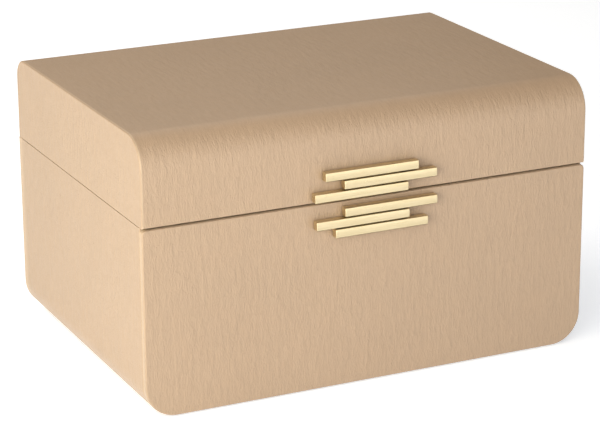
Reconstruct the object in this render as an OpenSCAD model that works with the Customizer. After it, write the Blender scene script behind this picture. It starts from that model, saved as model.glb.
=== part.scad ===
// Jewellery chest: a hinged lid over a lift-out tray, and one drawer behind the full front.
// Millimetres, +Z up, +Y towards the back.
// The origin is the centre of the footprint, on the underside of the felt.

/* [Overall] */
// Width of the chest
width = 300; // [230:1:380]
// Depth from the drawer's front to the back, without the pulls and hinges
depth = 215; // [170:1:280]
// Height of the case's rim above the table
case_h = 120.6; // [104:0.2:150]
// Height of the lid
lid_h = 53.4; // [44:0.2:80]
// Gap between the case's rim and the lid
lid_gap = 0.3; // [0.2:0.05:0.6]
// Radius of the lid's long front edge
lid_front_r = 20; // [12:0.5:24]
// Radius of the lid's long back edge
lid_back_r = 13; // [10:0.5:24]
// Radius of the case's lower side edges
foot_r = 20; // [14:0.5:24]

/* [Boards and coverings] */
// Thickness of the case and lid boards
board = 8; // [6:0.5:10]
// Thickness of the leather-look covering
wrap = 1; // [0.6:0.1:1.4]
// Thickness of the suede-covered lining boards
liner = 3; // [2:0.5:4]
// Thickness of the felt under the case
felt = 1; // [0.6:0.1:2]
// Distance from the felt's edge to the flat underside's edge
felt_inset = 4; // [2:0.5:10]
// Thickness of the shelf under the tray bay
shelf_t = 4; // [3:0.5:6]
// Thickness of the wall in front of the tray bay
bay_wall = 6; // [4:0.5:8]
// Thickness of the soft pads on the floors
pad_t = 2; // [1:0.5:4]

/* [Drawer] */
// Thickness of the drawer's overlaid face, covering included
face_t = 4; // [3:0.5:6]
// Radius of the face's top corners
face_top_r = 3; // [1.5:0.5:6]
// Gap between the face's top edge and the case's rim
face_drop = 0.8; // [0.4:0.1:2]
// Gap between the face and the case's front edges
face_gap = 0.3; // [0.2:0.1:0.8]
// Thickness of the board behind the face
front_t = 8; // [7:0.5:10]
// Thickness of the drawer's sides and back
drawer_wall = 6; // [4:0.5:8]
// Height of the drawer's sides
drawer_h = 50; // [36:1:60]
// Thickness of the drawer's bottom
drawer_floor = 4; // [3:0.5:6]
// Gap on each side of the drawer
drawer_clear = 1; // [0.5:0.1:2]
// Gap behind the closed drawer
drawer_back_gap = 2; // [1:0.5:6]
// Height of the tab on the drawer's back that meets the stop
stop_h = 3; // [2:0.5:5]
// Width of the stop block and of the tab
stop_w = 50; // [30:1:80]
// Depth of the stop block
stop_d = 8; // [5:0.5:12]
// From the shelf's front edge to the stop block, which limits how far the drawer opens
stop_in = 27; // [10:1:60]
// Width of each runner strip
runner_w = 12; // [8:0.5:18]
// Thickness of each runner strip
runner_t = 1.5; // [1:0.1:3]
// Thickness of the drawer's dividers
divider_t = 4; // [3:0.5:6]
// Height of the drawer's dividers
divider_h = 36; // [20:1:40]
// Compartments in the drawer's front row
front_cells = 3; // [2:1:5]
// Compartments in the drawer's back row
back_cells = 2; // [1:1:5]

/* [Tray] */
// Height of the lift-out tray
tray_h = 24; // [18:0.5:30]
// How far the tray's top lies below the rim
tray_drop = 2; // [1:0.5:4]
// Thickness of the tray's walls and dividers
tray_wall = 4; // [3:0.5:5]
// Thickness of the tray's bottom
tray_floor = 3; // [2:0.5:4]
// Gap around the tray
tray_clear = 1; // [0.5:0.1:2]
// Width of the ledges that carry the tray
ledge_w = 5; // [3:0.5:8]
// Length of the ring rolls
roll_l = 104; // [70:1:130]
// Diameter of a ring roll
roll_d = 17.6; // [12:0.1:20]
// Least gap between two ring rolls
roll_gap = 0.8; // [0.4:0.1:2]
// Compartments in the tray's middle column
tray_cells = 3; // [2:1:4]
// Width of a lifting ribbon
ribbon_w = 14; // [8:1:20]
// Thickness of a folded lifting ribbon
ribbon_t = 1.2; // [0.8:0.1:2]
// How far a lifting ribbon stands above the tray
ribbon_up = 8; // [4:0.5:12]

/* [Mirror] */
// Thickness of the mirror glass
mirror_t = 3; // [2:0.5:4]
// Thickness of the board behind the mirror
backing_t = 2.5; // [1.5:0.5:4]
// Width of the frame around the mirror
frame_w = 16; // [10:1:24]
// How far the frame laps over the glass
frame_lap = 5; // [3:0.5:8]
// Thickness of the frame over the glass
frame_t = 2; // [1.5:0.5:4]

/* [Pulls] */
// Length of each bar
bar_l = 62.8; // [50:0.5:80]
// Height of each bar
bar_h = 5.6; // [4:0.1:6]
// Depth of each bar
bar_t = 5.2; // [4:0.1:8]
// Distance from one bar to the next
bar_pitch = 6.3; // [6.1:0.1:8]
// Chamfer along the bars' front edges
bar_chamfer = 0.3; // [0.2:0.1:0.8]
// Sideways places of the lid's bars, from the lowest to the highest
lid_bar_x = [-9.7, 9.9, -2.7]; // [-15:0.1:15]
// Sideways places of the drawer's bars, from the highest to the lowest
drawer_bar_x = [10.4, -8.7, 4]; // [-15:0.1:15]
// From the lid's lower edge to the middle of its lowest bar
lid_bar_up = 4.3; // [4:0.1:10]
// From the rim to the middle of the drawer's highest bar
drawer_bar_down = 6.5; // [5:0.1:10]
// Thickness of the plate behind the bars
plate_t = 0.8; // [0.6:0.1:2]
// Width of the plate behind the bars
plate_w = 36; // [30:1:44]
// Distance between the two screws of a pull
screw_pitch = 24; // [16:1:28]
// Radius of a pull's screw
screw_r = 1.5; // [1:0.1:1.6]
// How far a pull's screw enters the bar
screw_bite = 3.4; // [2:0.1:4]

/* [Hinges] */
// Length of each hinge
hinge_l = 40; // [30:1:60]
// From the chest's side to the middle of a hinge
hinge_in = 58; // [40:1:70]
// Thickness of a hinge leaf
leaf_t = 1.2; // [1:0.1:1.5]
// How far a leaf reaches over the rim
leaf_w = 7.6; // [6:0.1:8]
// Radius of the knuckles
knuckle_r = 2.2; // [2:0.1:3]
// Radius of the hinge pin
pin_r = 0.9; // [0.7:0.05:1.2]
// Knuckles on one hinge, an odd number
knuckles = 5; // [3:2:7]
// How far the lid opens, in degrees, before the heels of its leaves meet the back
lid_open = 97; // [91:1:105]
// Length of a heel, from the hinge's axis
heel_l = 4.4; // [3.4:0.1:6]
// Radius of a hinge screw
wood_screw_r = 1; // [0.8:0.1:1.2]
// Length of a hinge screw
wood_screw_l = 9; // [6:0.5:12]

/* [Hidden] */
$fn = 64;

// clearances
fit = 0.05;        // round a pin or a screw
ease = 0.1;        // beside what slides or drops in
hinge_ease = 0.2;  // between knuckles, and round them
far = 400;         // beyond the chest, for cuts

// the chest's planes
side_x = width / 2;
front_y = -depth / 2;
back_y = depth / 2;
lid_z = case_h + lid_gap;
top_z = lid_z + lid_h;

// the case
core_x = side_x - wrap;                   // outside of the side boards
in_x = core_x - board;                    // inside of the side boards
edge_y = front_y + face_t + face_gap;     // the case's front edges
core_y = edge_y + wrap;                   // front of the boards
back_board_y = back_y - wrap - board;     // front of the back board
floor_z = felt + wrap + board;            // top of the bottom board

// the drawer
front_back_y = front_y + face_t + front_t;    // back of the drawer's front board
drawer_x = in_x - drawer_clear;
drawer_z = floor_z + runner_t + ease;
drawer_top = drawer_z + drawer_h;
drawer_end = back_board_y - drawer_back_gap;
face_top = case_h - face_drop;
drawer_in_x = drawer_x - drawer_wall;
drawer_in_end = drawer_end - drawer_wall;
drawer_in_z = drawer_z + ease + drawer_floor;
row_y = (front_back_y + drawer_in_end) / 2;   // middle of the long divider

// the shelf and the tray's bay
shelf_z = drawer_top + stop_h + drawer_clear;
bay_z = shelf_z + shelf_t;
bay_wall_y = front_back_y + drawer_clear;
bay_y0 = bay_wall_y + bay_wall + liner;
bay_y1 = back_board_y - liner;
bay_x = in_x - liner;
bay_top = case_h - wrap;

// the tray
tray_x = bay_x - tray_clear;
tray_y0 = bay_y0 + tray_clear;
tray_y1 = bay_y1 - tray_clear;
tray_top = case_h - tray_drop;
tray_z = tray_top - tray_h;
tray_in_x = tray_x - tray_wall;
tray_in_y0 = tray_y0 + tray_wall;
tray_in_y1 = tray_y1 - tray_wall;
tray_in_z = tray_z + tray_floor;
tray_in_d = tray_in_y1 - tray_in_y0;
tray_divider_h = tray_h - tray_floor - tray_drop;
roll_count = floor(tray_in_d / (roll_d + roll_gap));
roll_pitch = tray_in_d / roll_count;
column_x0 = -tray_in_x + roll_l + tray_wall;           // first column beside the ring rolls
column_w = (tray_in_x - column_x0 - tray_wall) / 2;    // two equal columns
column_x1 = column_x0 + column_w + tray_wall;

// inside the lid
lid_in_z = top_z - wrap - board;
lid_in_y = back_y - wrap - board - liner;
mirror_x = bay_x - frame_w + frame_lap;
mirror_y = lid_in_y - frame_w + frame_lap;
glass_z = lid_in_z - backing_t - mirror_t;
frame_z = glass_z - frame_t;

// the pulls
plate_h = 2 * bar_pitch + bar_h / 2;
lid_bar_z = lid_z + lid_bar_up;
drawer_bar_z = case_h - drawer_bar_down;
pull_reach = max(board + wrap, face_t + front_t);    // furthest that a pull's screw goes in
head_r = 2.1 * screw_r;
head_h = 1.2 * screw_r;

// the hinges
axis_y = back_y + knuckle_r + hinge_ease;
axis_z = case_h + lid_gap / 2;
hinge_x = side_x - hinge_in;
leaf_y = back_y - leaf_w;
knuckle_l = hinge_l / knuckles;
screw_y = back_y - wrap - board / 2;
screw_step = 0.35 * hinge_l;
// height of a heel's lower face over the axis, so that its tip meets the back at lid_open degrees
heel_z = (heel_l * abs(cos(lid_open)) - knuckle_r - hinge_ease) / sin(lid_open);

leather = [0.84, 0.72, 0.60];
fibreboard = [0.62, 0.50, 0.37];
suede = [0.90, 0.85, 0.77];
brass = [0.86, 0.74, 0.47];

// ---- helpers ----

// a box between two corners
module slab(x0, x1, y0, y1, z0, z1) {
    translate([x0, y0, z0]) cube([x1 - x0, y1 - y0, z1 - z0]);
}

// a drawing in X and Z, carried from y0 to y1
module along_y(y0, y1) {
    translate([0, y1, 0]) rotate([90, 0, 0]) linear_extrude(y1 - y0) children();
}

// a drawing in Y and Z, carried from x0 to x1
module along_x(x0, x1) {
    translate([x0, 0, 0]) rotate([90, 0, 90]) linear_extrude(x1 - x0) children();
}

module both_sides() {
    children();
    mirror([1, 0, 0]) children();
}

// what a round corner takes off a square one; sx and sy point at the corner from the arc's centre
module corner_off(x, y, r, sx, sy) {
    translate([x, y]) difference() {
        scale([sx, sy]) square(r + 1);
        circle(r);
    }
}

// the case seen from the front, drawn in by `inset` at the sides and bottom
module case_outline(inset, top) {
    r = foot_r - inset;
    x = side_x - inset;
    z = felt + inset;
    difference() {
        translate([-x, z]) square([2 * x, top - z]);
        for (s = [-1, 1]) corner_off(s * (x - r), z + r, r, s, -1);
    }
}

// the lid seen from the side, drawn in by `inset` all round
module lid_outline(inset) {
    front_r = lid_front_r - inset;
    back_r = lid_back_r - inset;
    y = back_y - inset;
    top = top_z - inset;
    difference() {
        translate([-y, lid_z + inset]) square([2 * y, top - lid_z - inset]);
        corner_off(front_r - y, top - front_r, front_r, -1, 1);
        corner_off(y - back_r, top - back_r, back_r, 1, 1);
    }
}

// the drawer's face seen from the front
module face_outline(inset) {
    top = face_top - inset;
    x = side_x - inset;
    r = face_top_r - inset;
    difference() {
        case_outline(inset, top);
        for (s = [-1, 1]) corner_off(s * (x - r), top - r, r, s, 1);
    }
}

// four boards round a rectangle: front and back at full width, the sides an ease short between them
module board_ring(x, y0, y1, z0, z1, t) {
    slab(-x, x, y0, y0 + t, z0, z1);
    slab(-x, x, y1 - t, y1, z0, z1);
    both_sides() slab(x - t, x, y0 + t + ease, y1 - t - ease, z0, z1);
}

// ---- the case ----

module case_side() {
    color(fibreboard) along_y(core_y, back_board_y) intersection() {
        case_outline(wrap, bay_top);
        translate([in_x, 0]) square([board + wrap, case_h]);
    }
}

module case_bottom() {
    color(fibreboard) along_y(core_y, back_board_y) intersection() {
        case_outline(wrap, bay_top);
        translate([-in_x, 0]) square([2 * in_x, floor_z]);
    }
}

module case_back() {
    color(fibreboard) difference() {
        along_y(back_board_y, back_y - wrap) case_outline(wrap, bay_top);
        leaf_room(case_h - leaf_t);
        screw_room(case_h - wood_screw_l - ease);
    }
}

module case_shelf() {
    color(fibreboard) slab(-in_x, in_x, bay_wall_y, back_board_y, shelf_z, bay_z);
}

module bay_front_wall() {
    color(leather) slab(-in_x, in_x, bay_wall_y, bay_wall_y + bay_wall, bay_z, bay_top);
}

// one covering round the sides and the bottom, turned in over the front edges and the rim
module case_wrap() {
    color(leather) difference() {
        along_y(edge_y, back_y - wrap) case_outline(0, case_h);
        along_y(core_y, back_y) case_outline(wrap, bay_top);
        slab(-in_x, in_x, -far, back_board_y, floor_z, far);
        slab(-core_x, core_x, back_board_y, far, felt + wrap + foot_r, far);
    }
}

module case_back_wrap() {
    color(leather) difference() {
        union() {
            along_y(back_y - wrap, back_y) case_outline(0, case_h);
            slab(-core_x, core_x, back_board_y, back_y, bay_top, case_h);
        }
        leaf_room(case_h - leaf_t);
        screw_room(case_h - wood_screw_l - ease);
    }
}

module bay_liner() {
    color(suede) board_ring(in_x, bay_y0 - liner, bay_y1 + liner, bay_z, bay_top, liner);
}

module bay_floor_pad() {
    x = bay_x - ledge_w;
    color(suede) slab(-x, x, bay_y0 + ease, bay_y1 - ease, bay_z, bay_z + pad_t);
}

module tray_ledges() {
    color(suede) both_sides() slab(bay_x - ledge_w + ease, bay_x, bay_y0, bay_y1, bay_z, tray_z);
}

module drawer_runners() {
    color("burlywood") both_sides()
        slab(drawer_x - runner_w, drawer_x, core_y, back_board_y, floor_z, floor_z + runner_t);
}

module drawer_stop() {
    y0 = bay_wall_y + stop_in;
    color("burlywood")
        slab(-stop_w / 2, stop_w / 2, y0, y0 + stop_d, drawer_top + drawer_clear, shelf_z);
}

module base_felt() {
    x = side_x - foot_r - felt_inset;
    color("dimgray") slab(-x, x, edge_y + felt_inset, back_y - felt_inset, 0, felt);
}

// ---- the lid ----

module lid_top() {
    color(fibreboard) along_x(-in_x, in_x) intersection() {
        lid_outline(wrap);
        translate([-back_y, lid_in_z]) square([depth, board + wrap]);
    }
}

// the lid's front or back board, from y up, under the top board
module lid_wall(y) {
    along_x(-in_x, in_x) intersection() {
        lid_outline(wrap);
        translate([y, lid_z]) square([board, lid_in_z - lid_z]);
    }
}

module lid_front() {
    color(fibreboard) difference() {
        lid_wall(-back_board_y - board);
        pull_holes(lid_bar_z + bar_pitch, -back_board_y);
    }
}

module lid_back() {
    color(fibreboard) difference() {
        lid_wall(back_board_y);
        leaf_room(lid_z - ease);
        screw_room(lid_z - ease);
    }
}

module lid_side() {
    color(fibreboard) along_x(in_x, core_x) lid_outline(wrap);
}

// the covering over the lid's front, top and back, turned in under the front and back rims
module lid_wrap() {
    color(leather) difference() {
        along_x(-core_x, core_x) lid_outline(0);
        along_x(-far, far) lid_outline(wrap);
        slab(-far, far, -back_board_y, back_board_y, lid_z - 1, lid_z + wrap + 1);
        leaf_room(lid_z - ease);
        screw_room(lid_z - ease);
        pull_holes(lid_bar_z + bar_pitch, -back_board_y);
    }
}

module lid_side_wrap() {
    color(leather) {
        along_x(core_x, side_x) lid_outline(0);
        slab(in_x, core_x, -back_board_y, back_board_y, lid_z, lid_z + wrap);
    }
}

module lid_liner() {
    color(suede) board_ring(in_x, -back_board_y, back_board_y, lid_z + wrap, lid_in_z, liner);
}

module mirror_backing() {
    color("gray") slab(-mirror_x, mirror_x, -mirror_y, mirror_y, lid_in_z - backing_t, lid_in_z);
}

module mirror_glass() {
    color("lightsteelblue") slab(-mirror_x, mirror_x, -mirror_y, mirror_y, glass_z, glass_z + mirror_t);
}

module mirror_frame() {
    x = bay_x - ease;
    y = lid_in_y - ease;
    rebate_x = mirror_x + ease;
    rebate_y = mirror_y + ease;
    sight_x = mirror_x - frame_lap;
    sight_y = mirror_y - frame_lap;
    color(suede) difference() {
        slab(-x, x, -y, y, frame_z, lid_in_z);
        slab(-rebate_x, rebate_x, -rebate_y, rebate_y, glass_z, far);
        slab(-sight_x, sight_x, -sight_y, sight_y, 0, far);
    }
}

// ---- the pulls ----

// a bar whose front stands bar_t + plate_t before the front, with its middle at height z
module bar(x, z) {
    c = bar_chamfer;
    y0 = front_y - plate_t - bar_t;
    y1 = front_y - plate_t;
    h = bar_h / 2;
    color(brass) along_x(x - bar_l / 2, x + bar_l / 2)
        polygon([
            [y1, z - h], [y0 + c, z - h], [y0, z - h + c],
            [y0, z + h - c], [y0 + c, z + h], [y1, z + h]
        ]);
}

// the middle bar, tapped from behind for the two screws
module tapped_bar(x, z) {
    color(brass) difference() {
        bar(x, z);
        screw_pair(z) translate([0, front_y - plate_t, 0]) rotate([90, 0, 0])
            cylinder(r = screw_r + fit, h = screw_bite + ease);
    }
}

module pull_plate(z) {
    color(brass) difference() {
        slab(-plate_w / 2, plate_w / 2, front_y - plate_t, front_y, z - plate_h / 2, z + plate_h / 2);
        pull_holes(z, far);
    }
}

// puts a screw's shape at both of a pull's screws, at height z
module screw_pair(z) {
    for (s = [-1, 1]) translate([s * screw_pitch / 2, 0, z]) children();
}

// clearance holes for a pull's screws at height z, with room for the heads behind y
module pull_holes(z, y) {
    screw_pair(z) {
        translate([0, front_y - far, 0]) rotate([-90, 0, 0])
            cylinder(r = screw_r + ease, h = far + pull_reach + ease);
        translate([0, y - head_h - ease, 0]) rotate([-90, 0, 0])
            cylinder(r = head_r + ease, h = head_h + 2 * ease);
    }
}

// a pull's screws at height z, their heads sunk behind the face y
module pull_screws(z, y) {
    under_head = y - head_h;
    color("silver") screw_pair(z) {
        translate([0, under_head, 0]) rotate([-90, 0, 0]) cylinder(r = head_r, h = head_h);
        translate([0, under_head, 0]) rotate([90, 0, 0])
            cylinder(r = screw_r, h = under_head - front_y + plate_t + screw_bite);
    }
}

// ---- the hinges ----

// room for the four leaves in the rims, from height z up by one leaf
module leaf_room(z) {
    both_sides() slab(hinge_x - hinge_l / 2 - ease, hinge_x + hinge_l / 2 + ease,
        leaf_y - ease, far, z, z + leaf_t + ease);
}

// pilot holes for the hinge screws, from height z up
module screw_room(z) {
    hinge_screw_places() translate([0, 0, z]) cylinder(r = wood_screw_r + fit, h = wood_screw_l + 2 * ease);
}

module hinge_screw_places() {
    both_sides() for (s = [-1, 0, 1]) translate([hinge_x + s * screw_step, screw_y, 0]) children();
}

// from one side of the chest, where knuckle i starts and ends, half an ease inside its share
function knuckle_x(i) =
    let (x = hinge_x - hinge_l / 2 + i * knuckle_l) [x + hinge_ease / 2, x + knuckle_l - hinge_ease / 2];

// the knuckles whose number is `first`, then every second one
module knuckle_row(first) {
    for (i = [first : 2 : knuckles - 1]) {
        x = knuckle_x(i);
        translate([x[0], axis_y, axis_z]) rotate([0, 90, 0]) cylinder(r = knuckle_r, h = x[1] - x[0]);
    }
}

// a heel under each of the lid's knuckles
module heels() {
    for (i = [1 : 2 : knuckles - 1]) {
        x = knuckle_x(i);
        slab(x[0], x[1], axis_y, axis_y + heel_l, axis_z + heel_z, axis_z + heel_z + leaf_t);
    }
}

// a leaf with its knuckles, to which a child may be added; z is its lower face, `first` its first
// knuckle, and head_z the face that its screws' heads lie in, running to the side `dir`
module leaf(first, z, head_z, dir) {
    color(brass) difference() {
        union() {
            slab(hinge_x - hinge_l / 2, hinge_x + hinge_l / 2, leaf_y, axis_y, z, z + leaf_t);
            knuckle_row(first);
            children();
        }
        for (i = [1 - first : 2 : knuckles - 1]) {
            x = knuckle_x(i);
            slab(x[0] - hinge_ease, x[1] + hinge_ease, back_y - hinge_ease, far, 0, far);
        }
        translate([0, axis_y, axis_z]) rotate([0, 90, 0]) cylinder(r = pin_r + fit, h = far);
        for (s = [-1, 0, 1])
            translate([hinge_x + s * screw_step, screw_y, head_z]) wood_screw_shape(fit, dir);
    }
}

module case_leaf() {
    leaf(0, case_h - leaf_t, case_h, -1);
}

module lid_leaf() {
    leaf(1, lid_z, lid_z, 1) heels();
}

module hinge_pin() {
    x0 = hinge_x - hinge_l / 2 - hinge_ease;
    color(brass) translate([x0, axis_y, axis_z]) rotate([0, 90, 0]) {
        cylinder(r = pin_r, h = hinge_l + 2 * hinge_ease);
        for (z = [-pin_r, hinge_l + 2 * hinge_ease])
            translate([0, 0, z]) cylinder(r = 1.6 * pin_r, h = pin_r);
    }
}

// a countersunk screw with its head's face at the origin, running along Z to the side `dir`
module wood_screw_shape(room, dir) {
    r = wood_screw_r + room;
    scale([1, 1, dir]) {
        cylinder(r1 = 1.8 * wood_screw_r + room, r2 = r, h = leaf_t);
        cylinder(r = r, h = wood_screw_l);
    }
}

module hinge_screws(z, dir) {
    color(brass) hinge_screw_places() translate([0, 0, z]) wood_screw_shape(0, dir);
}

// ---- the drawer ----

module drawer_face_board() {
    color(fibreboard) difference() {
        along_y(front_y + wrap, front_y + face_t) face_outline(wrap);
        pull_holes(drawer_bar_z - bar_pitch, far);
    }
}

module drawer_face_wrap() {
    color(leather) difference() {
        along_y(front_y, front_y + face_t) face_outline(0);
        along_y(front_y + wrap, far) face_outline(wrap);
        pull_holes(drawer_bar_z - bar_pitch, far);
    }
}

module drawer_front() {
    color(suede) difference() {
        slab(-drawer_x, drawer_x, front_y + face_t, front_back_y, drawer_z, face_top - face_top_r);
        pull_holes(drawer_bar_z - bar_pitch, front_back_y);
    }
}

module drawer_side() {
    color(suede) slab(drawer_in_x, drawer_x, front_back_y, drawer_end, drawer_z, drawer_top);
}

module drawer_back() {
    color(suede) {
        slab(-drawer_in_x, drawer_in_x, drawer_in_end, drawer_end, drawer_z, drawer_top);
        slab(-stop_w / 2, stop_w / 2, drawer_in_end, drawer_end, drawer_z, drawer_top + stop_h);
    }
}

module drawer_bottom() {
    color(fibreboard)
        slab(-drawer_in_x, drawer_in_x, front_back_y, drawer_in_end, drawer_z + ease, drawer_in_z);
}

// one pad under each row of compartments, either side of the long divider
module drawer_pad() {
    x = drawer_in_x - ease;
    color(suede) {
        slab(-x, x, front_back_y + ease, row_y - divider_t / 2 - ease, drawer_in_z, drawer_in_z + pad_t);
        slab(-x, x, row_y + divider_t / 2 + ease, drawer_in_end - ease, drawer_in_z, drawer_in_z + pad_t);
    }
}

module drawer_divider_long() {
    color(suede) slab(-drawer_in_x, drawer_in_x, row_y - divider_t / 2, row_y + divider_t / 2,
        drawer_in_z, drawer_in_z + pad_t + divider_h);
}

// the cross dividers that make `cells` equal compartments between y0 and y1
module cell_walls(x0, x1, y0, y1, z0, z1, cells, t) {
    cell = (x1 - x0 - (cells - 1) * t) / cells;
    if (cells > 1) for (i = [1 : cells - 1]) {
        x = x0 + i * cell + (i - 1) * t;
        slab(x, x + t, y0, y1, z0, z1);
    }
}

module drawer_dividers_short() {
    z0 = drawer_in_z + pad_t;
    x = drawer_in_x;
    color(suede) {
        cell_walls(-x, x, front_back_y, row_y - divider_t / 2, z0, z0 + divider_h, front_cells, divider_t);
        cell_walls(-x, x, row_y + divider_t / 2, drawer_in_end, z0, z0 + divider_h, back_cells, divider_t);
    }
}

// ---- the tray ----

module tray_walls() {
    color(suede) board_ring(tray_x, tray_y0, tray_y1, tray_z, tray_top, tray_wall);
}

module tray_bottom() {
    color(suede) slab(-tray_in_x, tray_in_x, tray_in_y0, tray_in_y1, tray_z, tray_in_z);
}

// two dividers from front to back, and the cross walls of the middle column
module tray_dividers() {
    z1 = tray_in_z + tray_divider_h;
    cell = (tray_in_d - (tray_cells - 1) * tray_wall) / tray_cells;
    color(suede) {
        for (x = [column_x0, column_x1])
            slab(x - tray_wall, x, tray_in_y0, tray_in_y1, tray_in_z, z1);
        for (i = [1 : tray_cells - 1]) {
            y = tray_in_y0 + i * cell + (i - 1) * tray_wall;
            slab(column_x0 + ease, column_x1 - tray_wall - ease, y, y + tray_wall, tray_in_z, z1);
        }
    }
}

module tray_ring_rolls() {
    color(suede) for (i = [0 : roll_count - 1])
        translate([-tray_in_x + ease, tray_in_y0 + (i + 0.5) * roll_pitch, tray_in_z + roll_d / 2 + fit])
            rotate([0, 90, 0]) cylinder(d = roll_d, h = roll_l - 2 * ease);
}

// a pad in the last column and in each compartment of the middle one
module tray_pads() {
    cell = (tray_in_d - (tray_cells - 1) * tray_wall) / tray_cells;
    z1 = tray_in_z + pad_t;
    color(suede) {
        slab(column_x1 + ease, tray_in_x - ease, tray_in_y0 + ease, tray_in_y1 - ease, tray_in_z, z1);
        for (i = [0 : tray_cells - 1]) {
            y = tray_in_y0 + i * (cell + tray_wall);
            slab(column_x0 + ease, column_x1 - tray_wall - ease, y + ease, y + cell - ease, tray_in_z, z1);
        }
    }
}

// a loop of ribbon inside the front wall and one inside the back wall
module tray_ribbons() {
    x0 = column_x0 + (column_w - ribbon_w) / 2;
    for (y = [tray_in_y0 + ease, tray_in_y1 - ease - ribbon_t])
        color("tan") slab(x0, x0 + ribbon_w, y, y + ribbon_t, tray_in_z + pad_t, tray_top + ribbon_up);
}

// ---- every node ----

mirror([1, 0, 0]) case_side();  // case_side_left
case_side();  // case_side_right
case_bottom();
case_back();
case_shelf();
bay_front_wall();
case_wrap();
case_back_wrap();
bay_liner();
bay_floor_pad();
tray_ledges();
drawer_runners();
drawer_stop();
base_felt();
mirror([1, 0, 0]) case_leaf();  // hinge_left_case_leaf
case_leaf();  // hinge_right_case_leaf
mirror([1, 0, 0]) hinge_pin();  // hinge_left_pin
hinge_pin();  // hinge_right_pin
hinge_screws(case_h, -1);  // case_hinge_screws
lid_top();
lid_front();
lid_back();
mirror([1, 0, 0]) lid_side();  // lid_side_left
lid_side();  // lid_side_right
lid_wrap();
mirror([1, 0, 0]) lid_side_wrap();  // lid_side_wrap_left
lid_side_wrap();  // lid_side_wrap_right
lid_liner();
mirror_backing();
mirror_glass();
mirror_frame();
pull_plate(lid_bar_z + bar_pitch);  // lid_pull_plate
bar(lid_bar_x[0], lid_bar_z);  // lid_bar_low
tapped_bar(lid_bar_x[1], lid_bar_z + bar_pitch);  // lid_bar_middle
bar(lid_bar_x[2], lid_bar_z + 2 * bar_pitch);  // lid_bar_high
pull_screws(lid_bar_z + bar_pitch, -back_board_y);  // lid_pull_screws
mirror([1, 0, 0]) lid_leaf();  // hinge_left_lid_leaf
lid_leaf();  // hinge_right_lid_leaf
hinge_screws(lid_z, 1);  // lid_hinge_screws
drawer_face_board();
drawer_face_wrap();
drawer_front();
mirror([1, 0, 0]) drawer_side();  // drawer_side_left
drawer_side();  // drawer_side_right
drawer_back();
drawer_bottom();
drawer_pad();
drawer_divider_long();
drawer_dividers_short();
pull_plate(drawer_bar_z - bar_pitch);  // drawer_pull_plate
bar(drawer_bar_x[0], drawer_bar_z);  // drawer_bar_high
tapped_bar(drawer_bar_x[1], drawer_bar_z - bar_pitch);  // drawer_bar_middle
bar(drawer_bar_x[2], drawer_bar_z - 2 * bar_pitch);  // drawer_bar_low
pull_screws(drawer_bar_z - bar_pitch, front_back_y);  // drawer_pull_screws
tray_walls();
tray_bottom();
tray_dividers();
tray_ring_rolls();
tray_pads();
tray_ribbons();
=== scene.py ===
import bpy
import bmesh
import math
import random
from mathutils import Matrix, Vector, noise


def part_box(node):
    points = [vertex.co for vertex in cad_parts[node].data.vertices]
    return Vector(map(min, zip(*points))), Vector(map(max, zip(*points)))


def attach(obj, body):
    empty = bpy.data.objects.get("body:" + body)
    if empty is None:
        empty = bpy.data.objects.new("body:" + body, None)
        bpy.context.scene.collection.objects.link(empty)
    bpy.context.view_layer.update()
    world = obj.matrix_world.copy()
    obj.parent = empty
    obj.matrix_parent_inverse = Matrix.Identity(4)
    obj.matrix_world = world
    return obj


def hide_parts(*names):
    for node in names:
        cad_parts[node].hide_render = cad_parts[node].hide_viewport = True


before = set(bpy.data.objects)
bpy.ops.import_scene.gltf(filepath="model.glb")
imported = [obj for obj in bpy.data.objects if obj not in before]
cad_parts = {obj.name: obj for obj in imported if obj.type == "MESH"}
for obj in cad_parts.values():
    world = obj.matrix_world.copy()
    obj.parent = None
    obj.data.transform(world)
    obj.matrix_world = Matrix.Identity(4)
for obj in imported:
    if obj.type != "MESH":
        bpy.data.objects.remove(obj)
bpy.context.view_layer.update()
mm = 0.001
print("frame loaded,", len(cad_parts), "nodes")


# small tools for meshes

joined = dict(made=1e-7, island=1e-6, cad=2e-6)  # points nearer than this, in metres, become one
shading = dict(sharpAngle=50, weight=60)
easing = dict(
    flatAngle=0.5,  # degrees; faces flatter than this to one another are one face
    creaseAngle=24,  # degrees; edges sharper than this are rounded
)


def corner(nodeNames, which):
    # lowest (0) or highest (1) corner of several nodes together
    boxes = [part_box(name) for name in nodeNames]
    pick = min if which == 0 else max
    return Vector([pick(box[which][axis] for box in boxes) for axis in range(3)])


def solids(node):
    # the box of each separate solid in a node, in order along x, then y, then z
    work = bmesh.new()
    work.from_mesh(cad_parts[node].data)
    bmesh.ops.remove_doubles(work, verts=work.verts, dist=joined["island"])
    seen, boxes = set(), []
    for first in work.verts:
        if first in seen:
            continue
        seen.add(first)
        island, queue = [], [first]
        while queue:
            vert = queue.pop()
            island.append(vert.co.copy())
            for edge in vert.link_edges:
                other = edge.other_vert(vert)
                if other not in seen:
                    seen.add(other)
                    queue.append(other)
        low, high = [Vector([pick(co[axis] for co in island) for axis in range(3)]) for pick in (min, max)]
        boxes.append((low, high))
    work.free()
    return sorted(boxes, key=lambda box: [round(number, 4) for number in box[0]])


def pieceName(node):
    words = node.split("_")
    return words[0] + "".join(word.capitalize() for word in words[1:])


def linked(name, data):
    thing = bpy.data.objects.new(name, data)
    bpy.context.scene.collection.objects.link(thing)
    return thing


def evaluated(piece):
    return piece.evaluated_get(bpy.context.evaluated_depsgraph_get())


def newPiece(name, verts, faces):
    mesh = bpy.data.meshes.new(name)
    mesh.from_pydata([tuple(v) for v in verts], [], faces)
    work = bmesh.new()
    work.from_mesh(mesh)
    bmesh.ops.remove_doubles(work, verts=work.verts, dist=joined["made"])
    bmesh.ops.dissolve_degenerate(work, dist=joined["made"], edges=work.edges)
    write(work, mesh)
    return linked(name, mesh)


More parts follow.
